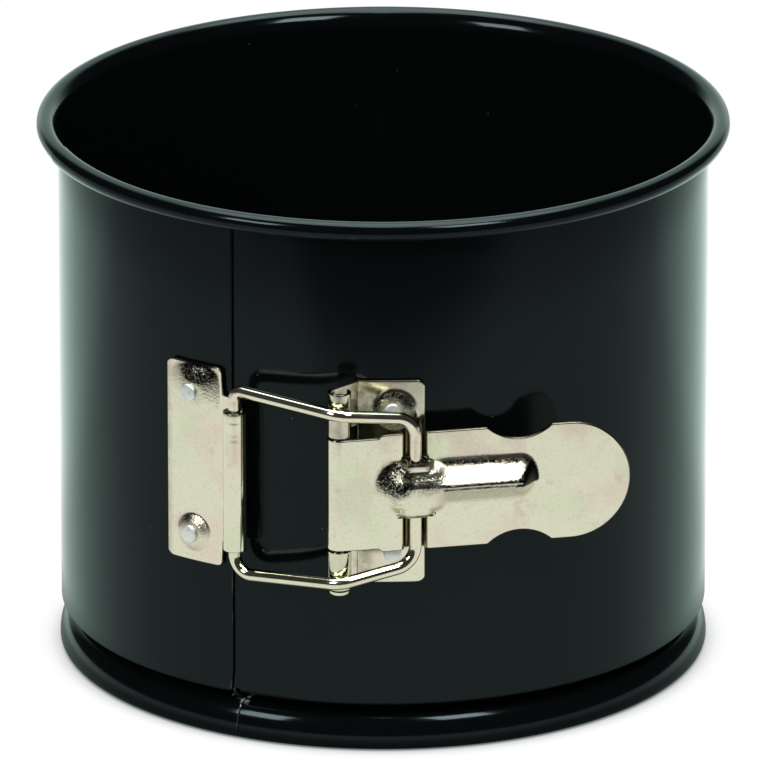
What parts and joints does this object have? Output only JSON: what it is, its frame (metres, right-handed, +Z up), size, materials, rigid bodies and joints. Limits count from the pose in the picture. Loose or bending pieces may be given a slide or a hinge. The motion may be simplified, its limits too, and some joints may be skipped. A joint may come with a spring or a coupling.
{
  "type": "springform cake pan",
  "caption": "Deep round springform cake pan: black coated steel ring with rolled rim and channel foot, loose flat base, and a plated over-centre lever latch with a wire bail.",
  "frame": {"origin": "on the pan's axis at the table, 0.3 mm below the base's flat underside", "axes": "+Z up out of the pan's mouth, latch facing -Y, lever's grip towards +X"},
  "size_m": [0.1712, 0.1812, 0.1378],
  "materials": {
    "coating": "black non-stick coating, satin",
    "plating": "warm nickel plating, bright",
    "rivet": "pale set rivet, satin"
  },
  "bodies": {
    "pan": {"ring_right": "coating", "base": "coating", "hinge_bracket": "plating", "bracket_rivet_upper": "rivet", "bracket_rivet_lower": "rivet", "hinge_pin": "plating"},
    "left_half": {"ring_left": "coating", "catch_plate": "plating", "catch_rivet_upper": "rivet", "catch_rivet_lower": "rivet", "bail_leg": "plating"},
    "lever": {"lever": "plating"},
    "bail": {"bail": "plating"}
  },
  "joints": [
    {"name": "lever_swing", "type": "hinge", "parent": "pan", "child": "lever", "pos_m": [-0.0106, -0.089, 0.0705], "axis": [0, 0, -1], "range_deg": [0, 170]},
    {"name": "bail_swing", "type": "hinge", "parent": "lever", "child": "bail", "pos_m": [0.00779, -0.088, 0.0705], "axis": [0, 0, 1], "range_deg": [0, 149.5]},
    {"name": "ring_open", "type": "hinge", "parent": "pan", "child": "left_half", "pos_m": [0, 0.086, 0.0705], "axis": [0, 0, -1], "range_deg": [0, 10.8]}
  ],
  "couplings": [
    {"joint": "bail_swing", "follows": "lever_swing", "ratio": 0.87891},
    {"joint": "ring_open", "follows": "lever_swing", "ratio": 0.063165}
  ]
}
